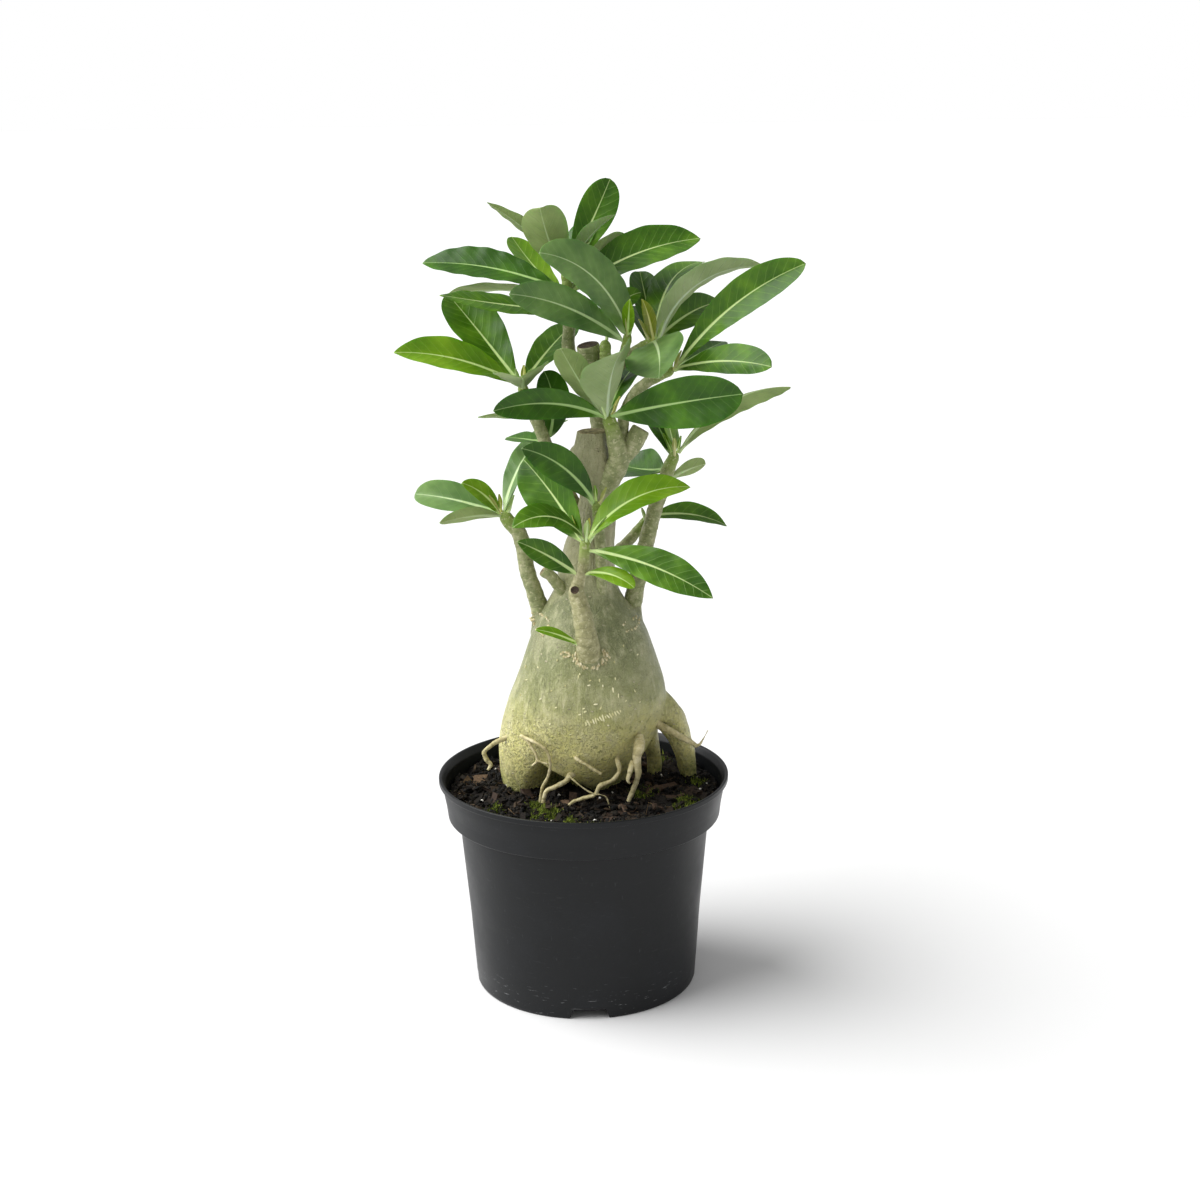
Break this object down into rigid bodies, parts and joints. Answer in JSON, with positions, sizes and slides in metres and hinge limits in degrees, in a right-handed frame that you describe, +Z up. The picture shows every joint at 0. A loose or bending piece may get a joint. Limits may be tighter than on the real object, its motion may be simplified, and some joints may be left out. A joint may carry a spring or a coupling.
{
  "type": "potted desert rose adenium",
  "caption": "Potted desert rose with a swollen bottle-shaped caudex, short shoots with glossy leaves and surface roots, in a plain round nursery pot.",
  "frame": {"origin": "centre of the pot's base, on the surface it stands on", "axes": "+Z up along the pot's axis, -Y towards the plant's front, +X to the front view's right"},
  "size_m": [0.1999, 0.15, 0.4113],
  "materials": {
    "pot_plastic": "satin moulded plastic",
    "peat": "loose peat and bark",
    "caudex_bark": "smooth waxy bark",
    "shoot_bark": "rough bark with leaf scars",
    "leaf_green": "glossy leaf"
  },
  "bodies": {
    "root": {"bud": "shoot_bark", "caudex": "caudex_bark", "crown_shoot": "shoot_bark", "crown_twig": "shoot_bark", "fork": "shoot_bark", "fork_stub": "shoot_bark", "front_branch": "shoot_bark", "left_branch": "shoot_bark", "left_shoot": "shoot_bark", "left_stub": "shoot_bark", "pot": "pot_plastic", "potting_soil": "peat", "right_branch": "shoot_bark", "right_shoot": "shoot_bark", "right_twig": "shoot_bark", "second_branch": "shoot_bark", "top_shoot": "shoot_bark", "upper_trunk": "shoot_bark", "root_curl": "shoot_bark", "root_fork": "shoot_bark", "root_knot": "shoot_bark", "root_loop": "shoot_bark", "root_spur": "shoot_bark", "leaf_01": "leaf_green", "leaf_02": "leaf_green", "leaf_03": "leaf_green", "leaf_04": "leaf_green", "leaf_07": "leaf_green", "leaf_08": "leaf_green", "leaf_10": "leaf_green", "leaf_13": "leaf_green", "leaf_14": "leaf_green", "leaf_15": "leaf_green", "leaf_17": "leaf_green", "leaf_19": "leaf_green", "leaf_20": "leaf_green", "leaf_21": "leaf_green", "leaf_25": "leaf_green", "leaf_26": "leaf_green", "leaf_28": "leaf_green", "leaf_29": "leaf_green", "leaf_30": "leaf_green", "leaf_32": "leaf_green", "leaf_33": "leaf_green", "leaf_34": "leaf_green", "leaf_35": "leaf_green", "leaf_37": "leaf_green", "leaf_38": "leaf_green", "leaf_43": "leaf_green", "leaf_45": "leaf_green", "leaf_46": "leaf_green", "leaf_47": "leaf_green", "leaf_48": "leaf_green", "leaf_49": "leaf_green", "leaf_50": "leaf_green", "leaf_51": "leaf_green", "leaf_52": "leaf_green", "leaf_53": "leaf_green", "leaf_58": "leaf_green", "leaf_59": "leaf_green"}
  },
  "joints": []
}
